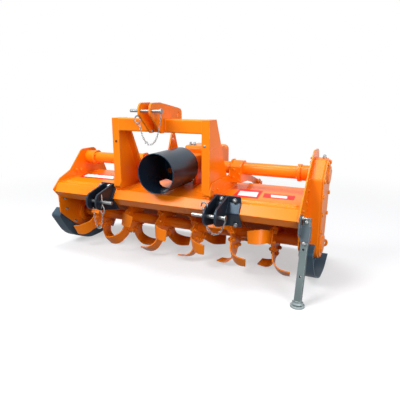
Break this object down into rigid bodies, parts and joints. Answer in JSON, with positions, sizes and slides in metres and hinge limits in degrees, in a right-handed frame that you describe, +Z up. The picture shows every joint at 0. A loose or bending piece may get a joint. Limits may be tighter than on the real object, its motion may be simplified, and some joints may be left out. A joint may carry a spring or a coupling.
{
  "type": "rotavator",
  "caption": "Tractor-mounted rotavator with a side chain drive, a hood over a rotor of bent L-shaped blades, a three-point headstock, skids and a parking stand.",
  "frame": {"origin": "on the ground, midway between the side plates and midway in depth, straight below the rotor's axis", "axes": "+X towards the chain case side, +Y rearwards, away from the tractor, +Z up"},
  "size_m": [2.004, 0.9941, 1.123],
  "materials": {
    "orange": "gloss",
    "cast_orange": "satin",
    "black_steel": "satin",
    "grey_steel": "satin",
    "galvanised": "matt",
    "zinc": "satin",
    "bright_steel": "polished",
    "black_plastic": "satin"
  },
  "bodies": {
    "frame": {"front_beam": "orange", "hood": "orange", "side_plate_left": "orange", "side_plate_right": "orange", "chain_case": "orange", "chain_case_cover": "orange", "shaft_guard_left": "orange", "shaft_guard_right": "orange", "bearing_housing": "orange", "cross_tube_left": "orange", "cross_tube_right": "orange", "tube_neck_left": "orange", "tube_neck_right": "orange", "gearbox": "cast_orange", "gear_case": "cast_orange", "shaft_shield": "black_plastic", "post_left": "orange", "post_right": "orange", "crossbar": "orange", "top_link_ears": "orange", "top_link_pin": "zinc", "cheek_left": "orange", "cheek_right": "orange", "rear_arm_left": "orange", "rear_arm_right": "orange", "lifting_lug": "orange", "lower_bracket_left": "black_steel", "lower_bracket_right": "black_steel", "lower_pin_left": "zinc", "lower_pin_right": "zinc", "skid_left": "black_steel", "skid_right": "black_steel", "skid_eye_left": "orange", "skid_eye_right": "orange", "stand_sleeve": "grey_steel", "hinge_pin": "zinc"},
    "rotor": {"rotor_tube": "orange", "rotor_flanges": "orange", "blades_left": "orange", "blades_right": "orange"},
    "input": {"input_shaft": "bright_steel"},
    "leg": {"stand_leg": "galvanised"},
    "board": {"levelling_board": "orange", "quadrants": "orange"}
  },
  "joints": [
    {"name": "rotor_spin", "type": "hinge", "parent": "frame", "child": "rotor", "pos_m": [0, 0, 0.253], "axis": [1, 0, 0], "continuous": true},
    {"name": "pto_spin", "type": "hinge", "parent": "frame", "child": "input", "pos_m": [0, -0.1, 0.682], "axis": [0, -1, 0], "continuous": true},
    {"name": "stand_slide", "type": "slide", "parent": "frame", "child": "leg", "axis": [0, 0.2924, 0.9563], "range_m": [0, 0.25]},
    {"name": "board_hinge", "type": "hinge", "parent": "frame", "child": "board", "pos_m": [0, 0.324, 0.396], "axis": [1, 0, 0], "range_deg": [0, 40]}
  ],
  "couplings": [
    {"joint": "pto_spin", "follows": "rotor_spin", "ratio": 2.45}
  ]
}
